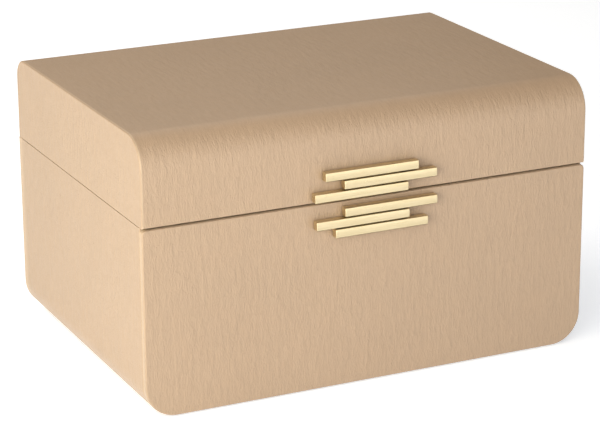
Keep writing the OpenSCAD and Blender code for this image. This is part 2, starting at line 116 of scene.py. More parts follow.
def write(work, mesh):
    # back into the mesh, with faces turned outward and shaded smoothly
    bmesh.ops.recalc_face_normals(work, faces=work.faces)
    for face in work.faces:
        face.smooth = True
    work.to_mesh(mesh)
    work.free()


def loft(loops):
    # skins a row of closed loops, all of one length, and caps both ends
    verts = [point for loop in loops for point in loop]
    size = len(loops[0])
    faces = []
    for row in range(len(loops) - 1):
        for i in range(size):
            j = (i + 1) % size
            faces.append((row * size + i, row * size + j, (row + 1) * size + j, (row + 1) * size + i))
    faces.append(tuple(range(size)))
    faces.append(tuple((len(loops) - 1) * size + i for i in reversed(range(size))))
    return verts, faces


def addShape(shape, verts, faces):
    # adds another closed shape to the one being gathered
    start = len(shape[0])
    shape[0].extend(verts)
    shape[1].extend(tuple(start + i for i in face) for face in faces)


def evenShading(piece):
    # flat faces stay flat and the rounded edges between them shade smoothly
    piece.data.set_sharp_from_angle(angle=math.radians(shading["sharpAngle"]))
    weighted = piece.modifiers.new("evenShading", "WEIGHTED_NORMAL")
    weighted.keep_sharp = True
    weighted.weight = shading["weight"]


def smoothed(piece):
    smooth = piece.modifiers.new("smooth", "SUBSURF")
    smooth.levels = smooth.render_levels = 1


def settle(piece, body, nodes, material):
    piece.data.materials.clear()
    piece.data.materials.append(material)
    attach(piece, body)
    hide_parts(*nodes)


def arc(cx, cy, radius, startDeg, endDeg, steps):
    points = []
    for i in range(steps + 1):
        angle = math.radians(startDeg + (endDeg - startDeg) * i / steps)
        points.append((cx + radius * math.cos(angle), cy + radius * math.sin(angle)))
    return points


def easedCopy(name, node, radius, segments=2):
    # the node's own shape with its sharp edges rounded over
    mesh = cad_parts[node].data.copy()
    mesh.name = name
    work = bmesh.new()
    work.from_mesh(mesh)
    bmesh.ops.remove_doubles(work, verts=work.verts, dist=joined["cad"])
    bmesh.ops.dissolve_limit(work, angle_limit=math.radians(easing["flatAngle"]), verts=work.verts,
                             edges=work.edges)
    limit = math.radians(easing["creaseAngle"])
    sharp = [e for e in work.edges if len(e.link_faces) == 2 and e.calc_face_angle(0) > limit]
    bmesh.ops.bevel(work, geom=sharp, offset=radius, offset_type="OFFSET", segments=segments,
                    profile=0.5, affect="EDGES", clamp_overlap=True)
    write(work, mesh)
    piece = linked(name, mesh)
    evenShading(piece)
    return piece


# small tools for materials

class Finish:
    # a material being built; its coordinates are the piece's own, in metres
    def __init__(self, name, color, roughness, metallic=0.0):
        self.material = bpy.data.materials.new(name)
        self.material.use_nodes = True
        self.tree = self.material.node_tree
        self.shader = self.tree.nodes["Principled BSDF"]
        self.color = color
        self.shader.inputs["Base Color"].default_value = (*color, 1)
        self.shader.inputs["Roughness"].default_value = roughness
        self.shader.inputs["Metallic"].default_value = metallic
        self.place = self.add("ShaderNodeTexCoord").outputs["Object"]

    def set(self, **values):
        # shader settings that are the same all over, such as SheenWeight=0.4
        for key, value in values.items():
            words = "".join(" " + letter if letter.isupper() else letter for letter in key).strip()
            self.shader.inputs[words.replace("I O R", "IOR")].default_value = value

    def add(self, kind, **settings):
        node = self.tree.nodes.new(kind)
        for key, value in settings.items():
            setattr(node, key, value)
        return node

    def join(self, source, target):
        self.tree.links.new(source, target)

    def stretched(self, sizes, warp=0.0, warpSize=0.004):
        # coordinates counted in cells of the given sizes, bent a little by noise
        mapping = self.add("ShaderNodeMapping")
        mapping.inputs["Scale"].default_value = [1 / size for size in sizes]
        self.join(self.place, mapping.inputs["Vector"])
        if not warp:
            return mapping.outputs["Vector"]
        wander = self.noise(self.place, 1 / warpSize, 2, wantColor=True)
        shift = self.add("ShaderNodeVectorMath", operation="MULTIPLY_ADD")
        shift.inputs[1].default_value = (warp, warp, warp)
        self.join(wander, shift.inputs[0])
        self.join(mapping.outputs["Vector"], shift.inputs[2])
        return shift.outputs["Vector"]

    def noise(self, vector, scale, detail=2.0, wantColor=False):
        node = self.add("ShaderNodeTexNoise")
        node.inputs["Scale"].default_value = scale
        node.inputs["Detail"].default_value = detail
        self.join(vector, node.inputs["Vector"])
        return node.outputs["Color" if wantColor else "Fac"]

    def grain(self, sizes, detail, **bend):
        # noise in cells of the given sizes
        return self.noise(self.stretched(sizes, **bend), 1.0, detail)

    def cells(self, vector, scale, feature="DISTANCE_TO_EDGE"):
        node = self.add("ShaderNodeTexVoronoi", feature=feature)
        node.inputs["Scale"].default_value = scale
        self.join(vector, node.inputs["Vector"])
        return node.outputs["Distance"]

    def ranged(self, value, low, high, outLow=0.0, outHigh=1.0, smooth=True):
        node = self.add("ShaderNodeMapRange")
        node.interpolation_type = "SMOOTHSTEP" if smooth else "LINEAR"
        for key, number in (("From Min", low), ("From Max", high), ("To Min", outLow), ("To Max", outHigh)):
            node.inputs[key].default_value = number
        self.join(value, node.inputs["Value"])
        return node.outputs["Result"]

    def calc(self, operation, *terms):
        # arithmetic on outputs and plain numbers
        node = self.add("ShaderNodeMath", operation=operation)
        for socket, term in zip(node.inputs, terms):
            if isinstance(term, float):
                socket.default_value = term
            else:
                self.join(term, socket)
        return node.outputs["Value"]

    def creases(self, vector, scale, width):
        # winding valleys: 0 at the bottom of each, 1 on the ground between them
        away = self.calc("SUBTRACT", self.noise(vector, scale, 1), 0.5)
        return self.ranged(self.calc("ABSOLUTE", away), 0.0, width)

    def sum(self, parts):
        # weighted sum of (output, weight) pairs
        total = 0.0
        for value, weight in parts:
            total = self.calc("MULTIPLY_ADD", value, weight, total)
        return total

    def tint(self, value, low, high, color, amount):
        # lays a colour over what the base colour is so far, more of it as the value goes from low to high
        share = self.ranged(value, low, high, 0.0, amount)
        node = self.add("ShaderNodeMix", data_type="RGBA")
        colorInputs = [s for s in node.inputs if s.type == "RGBA"]
        factorInput = [s for s in node.inputs if s.type == "VALUE"][0]
        target = self.shader.inputs["Base Color"]
        if target.is_linked:
            self.join(target.links[0].from_socket, colorInputs[0])
        else:
            colorInputs[0].default_value = (*self.color, 1)
        colorInputs[1].default_value = (*color, 1)
        self.join(share, factorInput)
        self.join([s for s in node.outputs if s.type == "RGBA"][0], target)

    def edges(self):
        # 0.5 on flat ground and higher along outside edges
        return self.add("ShaderNodeNewGeometry").outputs["Pointiness"]

    def fadedOnTop(self, height, share):
        # the same height, but shallower where the piece's own surface looks up
        axes = self.add("ShaderNodeSeparateXYZ")
        self.join(self.add("ShaderNodeTexCoord").outputs["Normal"], axes.inputs["Vector"])
        keep = self.ranged(axes.outputs["Z"], 0.55, 0.98, 1.0, share)
        return self.calc("MULTIPLY", height, keep)

    def relief(self, height, depth, strength=1.0):
        bump = self.add("ShaderNodeBump")
        bump.inputs["Strength"].default_value = strength
        bump.inputs["Distance"].default_value = depth
        self.join(height, bump.inputs["Height"])
        earlier = self.shader.inputs["Normal"]
        if earlier.is_linked:
            self.join(earlier.links[0].from_socket, bump.inputs["Normal"])
        self.join(bump.outputs["Normal"], earlier)

    def roughness(self, value, low, high):
        self.join(self.ranged(value, 0, 1, low, high, smooth=False), self.shader.inputs["Roughness"])


def scaled(color, amount):
    return tuple(min(1.0, channel * amount) for channel in color)


# finishes

leather = dict(
    color=(0.378, 0.268, 0.175),
    wornColor=(0.56, 0.44, 0.30),  # lighter along the outside edges: a painted highlight, with a little wear where the covering is stretched over an edge
    warmColor=(0.385, 0.269, 0.173),  # soft patches that took the dye a little warmer
    gloss=0.22,
    glossRoughness=0.26,
    roughness=(0.42, 0.56),
    streakWidth=1.9 * mm,  # from one winding crease to the next
    streakLength=7.5 * mm,  # how far a crease runs before it bends away
    winding=0.75,  # how far a crease strays, in creases
    windingSize=4.5 * mm,  # how soon it turns back
    pebble=0.75 * mm,
    topRelief=0.35,  # share of the grain's depth left on faces that look up
    creaseDepth=0.30 * mm,
    slackDepth=0.5 * mm,  # long low swells where the hide isn't quite flat
    # darker colour in the bottoms of the grain's creases, as painted shade
    grooveShade=0.80,
    # lighter colour on the grain's ridges, as a painted highlight
    ridgeLight=1.08,
    # what each kind of relief adds to the grain
    ripples=1.8, folds=0.24, smallFolds=0.20, swells=0.60, pebbles=0.12,
)


def leatherFinish(name, fineAxis, worn=True):
    # the grain runs across fineAxis: 0 for coverings wrapped front to back, 1 for the sides. Unless turned
    # off, the outside edges are painted lighter: a painted highlight, with a little wear
    finish = Finish(name, leather["color"], 0.5)
    finish.set(SpecularIORLevel=0.42, CoatWeight=leather["gloss"], CoatRoughness=leather["glossRoughness"])
    sizes = [leather["streakLength"]] * 3
    sizes[fineAxis] = leather["streakWidth"]
    place = finish.stretched(sizes, warp=leather["winding"], warpSize=leather["windingSize"])
    folds = finish.creases(place, 1.0, 0.085)
    smallFolds = finish.creases(place, 2.1, 0.10)
    swells = finish.noise(place, 0.9, 2)
    pebbles = finish.ranged(finish.cells(finish.place, 1 / leather["pebble"]), 0.0, 0.30)
    ripples = finish.noise(place, 0.62, 1)
    height = finish.sum([(ripples, leather["ripples"]), (folds, leather["folds"]),
                         (smallFolds, leather["smallFolds"]), (swells, leather["swells"]),
                         (pebbles, leather["pebbles"])])
    cloud = finish.noise(finish.place, 14, 3)
    patch = finish.noise(finish.place, 45, 2)
    finish.tint(cloud, 0.35, 0.75, scaled(leather["color"], 0.94), 0.6)
    finish.tint(patch, 0.45, 0.7, leather["warmColor"], 0.35)
    # grain ridges painted lighter: a painted highlight
    finish.tint(ripples, 0.50, 0.68, scaled(leather["color"], leather["ridgeLight"]), 0.25)
    # crease bottoms painted darker: painted shade
    finish.tint(folds, 0.7, 0.0, scaled(leather["color"], leather["grooveShade"]), 0.22)
    # outside edges painted lighter: a painted highlight, with a little wear
    if worn:
        finish.tint(finish.edges(), 0.515, 0.58, leather["wornColor"], 0.75)
    finish.roughness(swells, *leather["roughness"])
    finish.relief(finish.fadedOnTop(height, leather["topRelief"]), leather["creaseDepth"], 0.8)
    finish.relief(finish.noise(finish.place, 22, 2), leather["slackDepth"], 0.25)
    return finish.material


brass = dict(
    color=(0.63, 0.525, 0.32),
    warm=(0.57, 0.45, 0.25),
    pale=(0.72, 0.61, 0.41),
    edgeColor=(0.80, 0.69, 0.46),  # where hands have polished the edges
    roughness=(0.22, 0.38),
    # each layer of brushing: width across the strokes, length along them
    stroke=(0.16 * mm, 14 * mm),
    streak=(1.1 * mm, 22 * mm),
    band=(0.5 * mm, 30 * mm),
    depth=0.02 * mm,
)


def brassFinish(name, alongAxis):
    # brushed along one axis, a little darker where the lacquer has dulled
    finish = Finish(name, brass["color"], 0.26, metallic=1.0)

    def brushed(layer, detail):
        width, length = brass[layer]
        sizes = [width] * 3
        sizes[alongAxis] = length
        return finish.grain(sizes, detail)

    strokes, streaks, bands = brushed("stroke", 3), brushed("streak", 2), brushed("band", 2)
    tarnish = finish.noise(finish.place, 90, 3)
    finish.tint(tarnish, 0.48, 0.78, brass["warm"], 0.40)
    finish.tint(streaks, 0.42, 0.64, brass["pale"], 0.45)
    finish.tint(bands, 0.5, 0.72, brass["warm"], 0.35)
    finish.tint(finish.edges(), 0.51, 0.58, brass["edgeColor"], 0.5)
    finish.roughness(streaks, *brass["roughness"])
    finish.relief(strokes, brass["depth"], 0.55)
    return finish.material


def brassPlain(name):
    # cast and tumbled brass for hinges and their screws
    finish = Finish(name, brass["color"], 0.3, metallic=1.0)
    tumbled = finish.noise(finish.place, 1600, 3)
    tarnish = finish.noise(finish.place, 140, 4)
    finish.tint(tarnish, 0.45, 0.72, scaled(brass["warm"], 0.8), 0.6)
    finish.tint(finish.edges(), 0.51, 0.60, brass["pale"], 0.6)
    finish.roughness(tarnish, 0.24, 0.46)
    finish.relief(tumbled, brass["depth"], 0.5)
    return finish.material


suede = dict(
    color=(0.53, 0.43, 0.32),
    velvet=(0.56, 0.455, 0.34),
    nap=0.35 * mm,
    velvetNap=0.5 * mm,
    depth=0.18 * mm,
)


def suedeFinish(name, color, nap, sheen):
    # short pile: tiny tufts, brushed patches that lie another way, and a soft sheen
    finish = Finish(name, color, 0.92)
    finish.set(SheenWeight=sheen, SheenRoughness=0.45, SpecularIORLevel=0.2)
    tufts = finish.noise(finish.place, 1 / nap, 2)
    brushed = finish.grain((30 * mm, 12 * mm, 20 * mm), 3, warp=0.6, warpSize=50 * mm)
    lint = finish.cells(finish.place, 0.35 / nap, "F1")
    finish.tint(brushed, 0.42, 0.62, scaled(color, 0.84), 0.6)
    finish.tint(tufts, 0.35, 0.7, scaled(color, 1.16), 0.5)
    finish.tint(lint, 0.35, 0.0, scaled(color, 1.25), 0.12)
    finish.relief(tufts, suede["depth"], 0.6)
    return finish.material


lesser = dict(
    felt=(0.105, 0.082, 0.066),
    fibreboard=(0.34, 0.235, 0.145), fibreFleck=1.6 * mm,
    greyBoard=(0.30, 0.29, 0.27), greyFleck=1.1 * mm,
    beech=(0.56, 0.37, 0.20),
    zinc=(0.62, 0.62, 0.63), zincSpots=(0.50, 0.49, 0.42),
    glass=(0.90, 0.925, 0.92), glassSmear=(0.87, 0.90, 0.89),
    satin=(0.50, 0.35, 0.22),
)


def feltFinish(name):
    # matted fibres lying any way, thicker and thinner in clumps
    color = lesser["felt"]
    finish = Finish(name, color, 0.97)
    finish.set(SheenWeight=0.3)
    fibres = finish.grain((2.2 * mm, 0.4 * mm, 0.4 * mm), 4, warp=2.5, warpSize=3 * mm)
    clumps = finish.noise(finish.place, 420, 3)
    finish.tint(fibres, 0.45, 0.7, scaled(color, 1.7), 0.6)
    finish.tint(clumps, 0.4, 0.7, scaled(color, 0.7), 0.5)
    finish.relief(finish.sum([(fibres, 0.6), (clumps, 0.4)]), 0.3 * mm, 0.7)
    return finish.material


def boardFinish(name, color, fleck):
    # pressed fibre: flecks of the given length lying in the board's plane
    finish = Finish(name, color, 0.8)
    flecks = finish.grain((fleck, 0.4 * fleck, 0.6 * fleck), 4, warp=1.0)
    dust = finish.noise(finish.place, 1800, 2)
    finish.tint(flecks, 0.4, 0.7, scaled(color, 1.35), 0.6)
    finish.tint(dust, 0.55, 0.75, scaled(color, 0.65), 0.5)
    finish.relief(flecks, 0.12 * mm, 0.5)
    return finish.material


def waxedWood(name):
    # growth rings and pores running along Y
    color = lesser["beech"]
    finish = Finish(name, color, 0.45)
    rings = finish.grain((1.6 * mm, 50 * mm, 2.2 * mm), 4, warp=0.35, warpSize=30 * mm)
    pores = finish.grain((0.3 * mm, 6 * mm, 0.3 * mm), 2)
    finish.tint(rings, 0.42, 0.62, scaled(color, 0.72), 0.65)
    finish.tint(pores, 0.6, 0.75, scaled(color, 0.5), 0.5)
    finish.roughness(rings, 0.36, 0.55)
    finish.relief(pores, 0.05 * mm, 0.6)
    return finish.material


def zincPlated(name):
    # turned steel under bright plating, dulled in spots
    finish = Finish(name, lesser["zinc"], 0.32, metallic=1.0)
    lathe = finish.noise(finish.place, 3000, 2)
    spots = finish.noise(finish.place, 700, 3)
    finish.tint(spots, 0.5, 0.75, lesser["zincSpots"], 0.5)
    finish.roughness(spots, 0.25, 0.45)
    finish.relief(lathe, 0.01 * mm, 0.5)
    return finish.material


def mirrorFinish(name):
    # silvered glass, with faint smears left by wiping
    finish = Finish(name, lesser["glass"], 0.02, metallic=1.0)
    smear = finish.grain((50 * mm, 20 * mm, 20 * mm), 3, warp=1.0, warpSize=80 * mm)
    finish.roughness(smear, 0.005, 0.045)
    finish.tint(smear, 0.5, 0.8, lesser["glassSmear"], 0.5)
    return finish.material


def ribbonFinish(name):
    # satin: long threads up the ribbon, crossed by fine rows
    color = lesser["satin"]
    finish = Finish(name, color, 0.35)
    finish.set(SheenWeight=0.25)
    threads = finish.grain((0.22 * mm, 4 * mm, 4 * mm), 2)
    rows = finish.grain((4 * mm, 0.3 * mm, 0.3 * mm), 2)
    finish.tint(threads, 0.4, 0.65, scaled(color, 0.8), 0.5)
    finish.roughness(rows, 0.3, 0.5)
    finish.relief(finish.sum([(threads, 0.6), (rows, 0.4)]), 0.05 * mm, 0.6)
    return finish.material


leatherWrap = leatherFinish("leatherWrap", 0)
leatherSides = leatherFinish("leatherSides", 1)
leatherFlat = leatherFinish("leatherFlat", 0, worn=False)
brushedBrass = brassFinish("brushedBrass", 0)
hingeBrass = brassPlain("hingeBrass")
suedeLining = suedeFinish("suedeLining", suede["color"], suede["nap"], 0.35)
velvetPad = suedeFinish("velvetPad", suede["velvet"], suede["velvetNap"], 0.6)
baseFelt = feltFinish("baseFelt")
fibreboard = boardFinish("fibreboard", lesser["fibreboard"], lesser["fibreFleck"])
greyBoard = boardFinish("greyBoard", lesser["greyBoard"], lesser["greyFleck"])
waxedBeech = waxedWood("waxedBeech")
zincSteel = zincPlated("zincSteel")
silveredGlass = mirrorFinish("silveredGlass")
satinRibbon = ribbonFinish("satinRibbon")
print("finishes made")


# main sizes, from the frame

caseLow, caseHigh = corner(["case_wrap", "case_back_wrap"], 0), corner(["case_wrap", "case_back_wrap"], 1)
lidNodes = ["lid_wrap", "lid_side_wrap_left", "lid_side_wrap_right"]
lidLow, lidHigh = corner(lidNodes, 0), corner(lidNodes, 1)
faceLow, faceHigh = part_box("drawer_face_wrap")
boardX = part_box("lid_top")[1][0]  # inside of the side boards
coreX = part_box("lid_wrap")[1][0]  # outside of the side boards
wrapThick = lidHigh.x - coreX
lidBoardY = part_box("lid_liner")[1][1]  # inside of the lid's front and back boards
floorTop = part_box("case_bottom")[1][2]  # top of the case's bottom board

body = dict(
    lidFrontRadius=20 * mm,  # long front edge of the lid
    lidBackRadius=13 * mm,  # long back edge of the lid
    footRadius=20 * mm,  # lower side edges of the case and the drawer's face
    faceCorner=3 * mm,  # top corners of the drawer's face
    sideRoll=1.0 * mm,  # how round the lid's side coverings turn over their edges
    sideRimShare=0.25,  # how much of that roll is left along their lower edge
    sideDrop=0.17 * mm,  # how far their lower edge bulges into the seam
    faceRoll=0.9 * mm,  # how round the drawer's face covering turns over its edges
    frontRoll=0.8 * mm,  # how round the case's covering turns over its front edges
    rimRoll=0.9 * mm,  # the same along the lid's front and back rims, at the seam
    sideRimRoll=0.3 * mm,  # the same along the case's side rims
    groove=0.12 * mm,  # pressed line between the lid's covering and its side panels
    margins=(0.5 * mm, 3.0 * mm),  # rings of points inside a rolled edge, where it has gone flat
    backEase=0.35 * mm,  # rounding of the covering over the case's back
    wallEase=0.6 * mm,  # rounding of the covered wall in front of the tray
    innerCorner=1.0 * mm,  # lower corners inside the case's front opening
    faceLip=0.15 * mm,  # rounding of the cut edge behind the drawer's face
    arcSteps=16,
)


# leather coverings

def cover(name, bodyName, node, shape, material):
    piece = newPiece(name, *shape)
    evenShading(piece)
    settle(piece, bodyName, [node], material)


def rolledEdge(radius, steps):
    # a quarter turn as (down from the face, in from the side)
    angles = [math.radians(90 * i / steps) for i in range(steps + 1)]
    return [(radius - radius * math.sin(angle), radius - radius * math.cos(angle)) for angle in angles]


def lidProfile(inset, rimShare=1.0, drop=0.0):
    # the lid from the side as (y, z), from its back rim over the top to its front rim
    y, top, bottom = lidHigh.y - inset, lidHigh.z - inset, lidLow.z - drop + inset * rimShare
    rim, steps = body["rimRoll"], body["arcSteps"]
    back, front = body["lidBackRadius"] - inset, body["lidFrontRadius"] - inset
    outline = arc(y - rim, bottom + rim, rim, -90, 0, 4)
    outline += [(y, bottom + rim + margin) for margin in body["margins"]]
    outline += arc(y - back, top - back, back, 0, 90, steps)
    outline += arc(front - y, top - front, front, 90, 180, steps)
    outline += [(-y, bottom + rim + margin) for margin in reversed(body["margins"])]
    return outline + arc(rim - y, bottom + rim, rim, 180, 270, 4)


def lidCover():
    # one sheet over front, top and back, turned in under both rims
    y, top, rim = lidHigh.y - wrapThick, lidHigh.z - wrapThick, lidLow.z + wrapThick
    back, front = body["lidBackRadius"] - wrapThick, body["lidFrontRadius"] - wrapThick
    inside = [(lidBoardY, rim), (y, rim)] + arc(y - back, top - back, back, 0, 90, body["arcSteps"])
    inside += arc(front - y, top - front, front, 90, 180, body["arcSteps"]) + [(-y, rim), (-lidBoardY, rim)]

    def section(x, inset):
        outside = [(lidBoardY, lidLow.z + inset)] + lidProfile(inset) + [(-lidBoardY, lidLow.z + inset)]
        return [(x, p[0], p[1]) for p in outside + inside[::-1]]

    groove, between = body["groove"], 24  # between: how many stations share the length
    ends = [(-coreX, groove), (-coreX + groove, 0.3 * groove), (-coreX + 2.5 * groove, 0)]
    ends += [(-coreX + margin, 0) for margin in body["margins"]]
    stations = ends + [(-coreX + 2 * coreX * i / between, 0) for i in range(1, between)]
    stations += [(-x, inset) for x, inset in reversed(ends)]
    cover("lidCover", "lid", "lid_wrap", loft([section(x, inset) for x, inset in stations]), leatherWrap)


def lidSideCover(name, node, side):
    # a panel let in to the lid's side, its edge rolled over all round
    turn, loops = body["sideRoll"], []
    for down, inset in rolledEdge(turn, 6):
        outline = lidProfile(inset, body["sideRimShare"], body["sideDrop"])
        loops.append([(side * (lidHigh.x - down), y, z) for y, z in outline])
    for margin in body["margins"]:
        loops.append([(side * lidHigh.x, y, z) for y, z in lidProfile(turn + margin)])
    shape = ([], [])
    addShape(shape, *loft(loops))
    strip = [[(side * x, y, z) for x, z in ((boardX, lidLow.z), (coreX, lidLow.z),
                                            (coreX, lidLow.z + wrapThick), (boardX, lidLow.z + wrapThick))]
             for y in (-lidBoardY, lidBoardY)]
    addShape(shape, *loft(strip))
    cover(name, "lid", node, shape, leatherSides)


def mirrored(left):
    return left + [(-x, z) for x, z in reversed(left)]


def casePath(inset, top, cornerRadius, sideX, bottom, rim=0.0):
    # down the left side, round under the case and up the right, as (x, z)
    radius, steps = cornerRadius - inset, body["arcSteps"]
    x, z = sideX - inset, bottom + inset
    left = [(-x, top)]
    if rim:
        left = arc(-x + rim, top - rim, rim, 90, 180, 4)
        left += [(-x, top - rim - margin) for margin in body["margins"]]
    left += arc(-x + radius, z + radius, radius, 180, 270, steps)
    return mirrored(left)


def caseCover():
    # round the sides and bottom, turned in over the front edges and the side rims
    top, foot = caseHigh.z, body["footRadius"]
    frontY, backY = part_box("case_wrap")[0][1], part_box("case_wrap")[1][1]
    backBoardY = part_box("case_back")[0][1]
    turn, inCorner = body["frontRoll"], body["innerCorner"]

    def section(y, inset, opening, rimX=boardX):
        outside = casePath(inset, top, foot, caseHigh.x, caseLow.z, body["sideRimRoll"])
        outside = [(-rimX, top - inset)] + outside + [(rimX, top - inset)]
        if opening:
            inner = casePath(0, top - wrapThick, inCorner, boardX, floorTop)
        else:
            inner = casePath(wrapThick, top - wrapThick, foot, caseHigh.x, caseLow.z)
        inner = [(-rimX, top - wrapThick)] + inner + [(rimX, top - wrapThick)]
        return [(p[0], y, p[1]) for p in outside + inner[::-1]]

    loops, lengthSteps = [section(frontY + back, inset, True) for inset, back in rolledEdge(turn, 4)], 12
    loops.append(section(frontY + wrapThick, 0, True))
    loops += [section(frontY + wrapThick + margin, 0, False) for margin in (0, *body["margins"])]
    for i in range(1, lengthSteps):
        y = frontY + wrapThick
        loops.append(section(y + (backBoardY - y) * i / lengthSteps, 0, False))
    # past the back board the rim belongs to the covering over the back
    loops.append(section(backBoardY, 0, False))
    loops += [section(y, 0, False, coreX) for y in (backBoardY, backY)]
    cover("caseCover", "case", "case_wrap", loft(loops), leatherSides)


def facePath(inset):
    # the drawer's face from the front, as (x, z)
    top = faceHigh.z - inset
    radius, steps = body["footRadius"] - inset, body["arcSteps"]
    small = max(0.2 * mm, body["faceCorner"] - inset)
    x, z = faceHigh.x - inset, faceLow.z + inset
    left = arc(-x + small, top - small, small, 90, 180, 6)
    left += arc(-x + radius, z + radius, radius, 180, 270, steps)
    return mirrored(left)


def drawerFaceCover():
    # a sheet over the face board, rolled back over all four edges and open at the back
    def ring(y, inset):
        return [(p[0], y, p[1]) for p in facePath(inset)]

    turn, lip = body["faceRoll"], body["faceLip"]
    loops = [ring(faceHigh.y, wrapThick), ring(faceHigh.y, lip), ring(faceHigh.y - lip, 0)]
    loops += [ring(faceLow.y + down, inset) for down, inset in rolledEdge(turn, 6)]
    loops += [ring(faceLow.y, turn + margin) for margin in body["margins"]]
    outside = loft(loops)
    inside = loft([ring(faceHigh.y, wrapThick), ring(faceLow.y + wrapThick, wrapThick)])
    shape = ([], [])
    for verts, faces in (outside, inside):
        addShape(shape, verts, faces[:-2] + faces[-1:])
    cover("drawerFaceCover", "drawer", "drawer_face_wrap", shape, leatherWrap)


lidCover()
lidSideCover("lidSideCoverLeft", "lid_side_wrap_left", -1)
lidSideCover("lidSideCoverRight", "lid_side_wrap_right", 1)
caseCover()
drawerFaceCover()
for name, node, radius, segments in (("caseBackCover", "case_back_wrap", body["backEase"], 2),
                                     ("bayFrontWall", "bay_front_wall", body["wallEase"], 3)):
    settle(easedCopy(name, node, radius, segments), "case", [node], leatherFlat)
print("leather coverings made")


# brass pulls and hinges

bar = dict(
    ease=0.34 * mm,  # rounding of the long edges
    crown=0.24 * mm,  # how far the middle of the front stands before its edges
    endCrown=0.05 * mm,  # the same for the middle of each end
    endRound=((0.9, 0), (0.55, 0.12), (0.2, 0.45), (0, 1)),  # inset and depth of each ring, in eases
    crownSteps=6,
    easeSteps=3,
    plateEase=0.15 * mm,
    hingeEase=0.12 * mm,
)


def barSection(halfY, halfZ, inset):
    # a bar from its end as (y, z): flat back and sides, a slightly crowned front, eased edges
    y, z, ease, steps = halfY - inset, halfZ - inset, bar["ease"], bar["crownSteps"]
    front, turn = [], bar["easeSteps"]
    for i in range(steps + 1):
        t = -1 + 2 * i / steps
        front.append((-y - bar["crown"] * (1 - t * t) + bar["crown"], t * (z - ease)))
    loop = arc(-y + ease, z - ease, ease, 180, 90, turn)[1:]
    loop += arc(y - ease, z - ease, ease, 90, 0, turn)
    loop += arc(y - ease, ease - z, ease, 0, -90, turn)
    loop += arc(-y + ease, ease - z, ease, -90, -180, turn)[:-1]
    return front + loop


def brassBar(name, node, bodyName):
    low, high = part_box(node)
    middle, half = (low + high) / 2, (high - low) / 2
    ease, rows = bar["ease"], []
    for side in (-1, 1):
        end = []
        for inset, along in bar["endRound"]:
            x = middle.x + side * (half.x - bar["endCrown"] - ease * along)
            section = barSection(half.y, half.z, inset * ease)
            end.append([(x, middle.y + y, middle.z + z) for y, z in section])
        tip = [(middle.x + side * half.x, p[1], p[2]) for p in narrowed(end[0], 0.5)]
        rows += ([tip] + end) if side < 0 else (end[::-1] + [tip])
    piece = newPiece(name, *loft(rows))
    evenShading(piece)
    settle(piece, bodyName, [node], brushedBrass)


def narrowed(loop, amount):
    centre = sum((Vector(p) for p in loop), Vector()) / len(loop)
    return [tuple(centre + (Vector(p) - centre) * amount) for p in loop]


for bodyName in ("lid", "drawer"):
    for place in ("low", "middle", "high"):
        node = bodyName + "_bar_" + place
        brassBar(pieceName(node), node, bodyName)
    node = bodyName + "_pull_plate"
    settle(easedCopy(pieceName(node), node, bar["plateEase"]), bodyName, [node], brushedBrass)
for side in ("left", "right"):
    for part, bodyName in (("case_leaf", "case"), ("lid_leaf", "lid"), ("pin", "case")):
        node = "hinge_" + side + "_" + part
        settle(easedCopy(pieceName(node), node, bar["hingeEase"]), bodyName, [node], hingeBrass)
print("pulls and hinges made")


# screws

screw = dict(
    recessWidth=0.34,  # of the head's radius, each arm of the cross
    recessLength=1.25,  # of the head's radius, from end to end
    recessDepth=0.45,  # of the head's height
    sunkRim=0.12, dome=0.35,  # of the head's height
    sunkHead=1.8, raisedHead=2.1,  # the head's radius over the shank's
    headHeight=1.2,  # of the shank's radius
    turns=24,
    seed=7,
)


def screwShape(headRadius, headHeight, shankRadius, length, countersunk):
    # stands along Z with the top of its head at 0, head up
    if countersunk:
        profile = [(headRadius, 0), (headRadius, -screw["sunkRim"] * headHeight), (shankRadius, -headHeight)]
    else:
        dome = screw["dome"] * headHeight
        profile = [(headRadius * math.cos(math.radians(a)), dome * math.sin(math.radians(a)) - dome)
                   for a in (75, 50, 25, 0)]
        profile += [(headRadius, -headHeight), (shankRadius, -headHeight)]
    profile += [(shankRadius, -length + shankRadius), (0.25 * shankRadius, -length)]
    loops = []
    for radius, z in profile:
        loops.append([(x, y, z) for x, y in arc(0, 0, radius, 0, 360, screw["turns"])[:-1]])
    return loft(loops)


def crossShape(headRadius, headHeight):
    # the driver's tip: a cross that narrows downwards
    half, arm = headRadius * screw["recessWidth"] / 2, headRadius * screw["recessLength"] / 2
    quarter = [(arm, half), (half, half), (half, arm)]
    loops = []
    for z, size in ((headHeight, 1.0), (-screw["recessDepth"] * headHeight, 0.7)):
        loop = []
        for turn in range(4):
            c, s = round(math.cos(turn * math.pi / 2)), round(math.sin(turn * math.pi / 2))
            loop += [(size * (x * c - y * s), size * (x * s + y * c), z) for x, y in quarter]
        loops.append(loop)
    return loft(loops)


def cutScrew(headRadius, headHeight, shankRadius, length, countersunk):
    # one screw with its cross cut in, as a mesh
    solid = newPiece("screwBlank", *screwShape(headRadius, headHeight, shankRadius, length, countersunk))
    cutter = newPiece("screwCross", *crossShape(headRadius, headHeight))
    cut = solid.modifiers.new("cross", "BOOLEAN")
    cut.object, cut.operation, cut.solver = cutter, "DIFFERENCE", "EXACT"
    mesh = bpy.data.meshes.new_from_object(evaluated(solid))
    for helper in (solid, cutter):
        bpy.data.objects.remove(helper)
    return mesh


